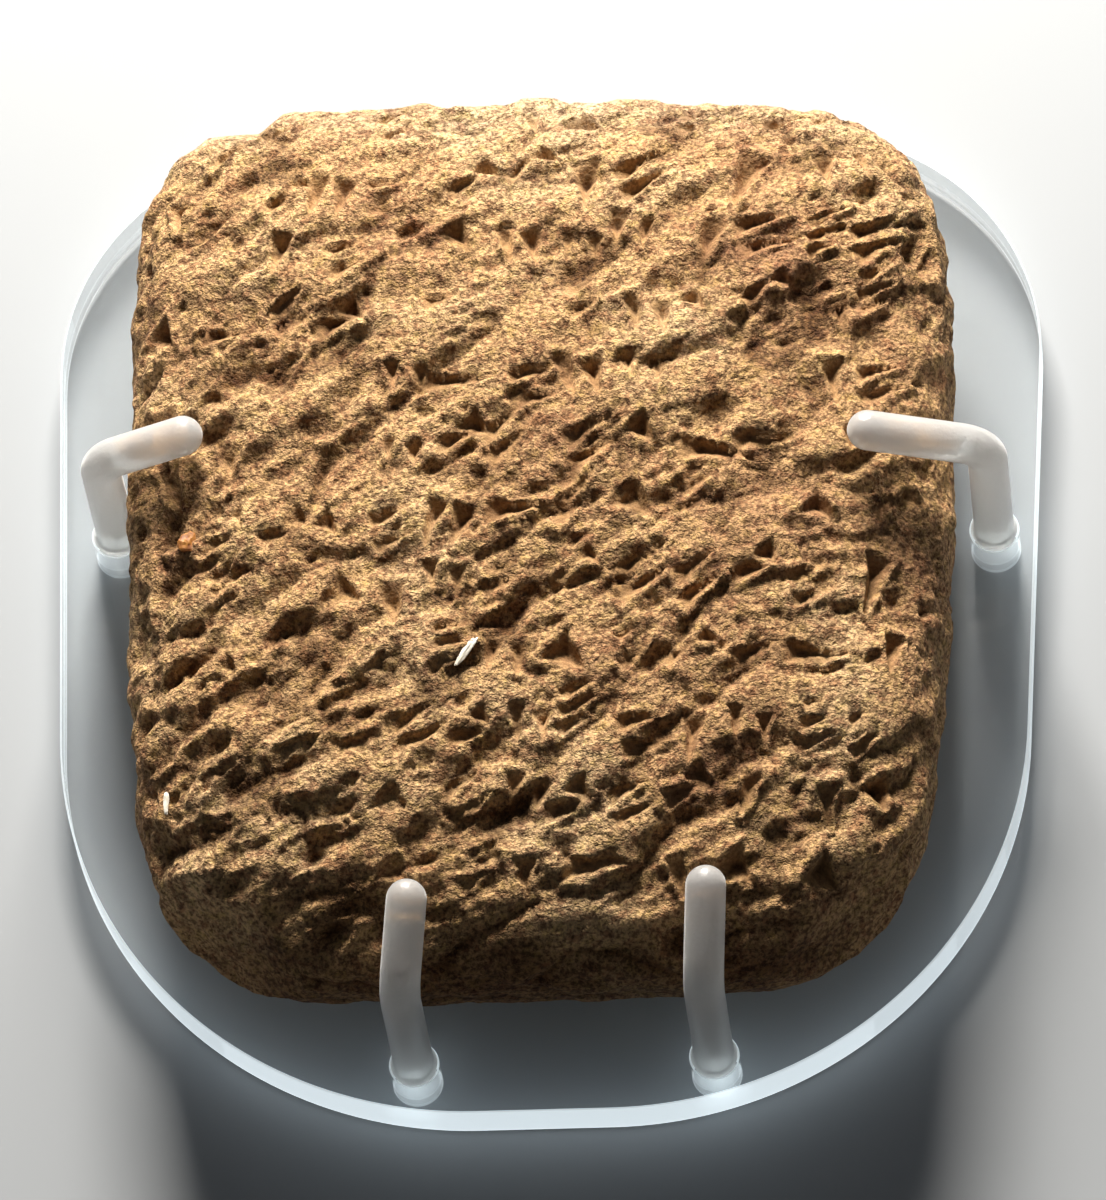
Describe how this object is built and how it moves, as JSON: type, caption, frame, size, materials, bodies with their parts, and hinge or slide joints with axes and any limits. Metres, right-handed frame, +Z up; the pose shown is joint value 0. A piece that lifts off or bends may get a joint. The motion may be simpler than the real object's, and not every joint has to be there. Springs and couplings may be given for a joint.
{
  "type": "cuneiform tablet on display stand",
  "caption": "Rounded clay tablet with rows of wedge strokes, lying in a clear acrylic stand with bent prongs.",
  "frame": {"origin": "middle of the plate's underside, on the surface that the stand lies on", "axes": "+Z up out of the inscribed face, +Y towards the top of the inscription, +X to its right"},
  "size_m": [0.0997, 0.107, 0.0316],
  "materials": {
    "clay": "dry, sandy baked clay",
    "clear_acrylic": "clear polished acrylic",
    "frosted_acrylic": "milky, satin acrylic rod"
  },
  "bodies": {
    "root": {"clay_tablet": "clay", "stand_plate": "clear_acrylic", "left_prong": "frosted_acrylic", "right_prong": "frosted_acrylic", "lower_left_prong": "frosted_acrylic", "lower_right_prong": "frosted_acrylic"}
  },
  "joints": []
}
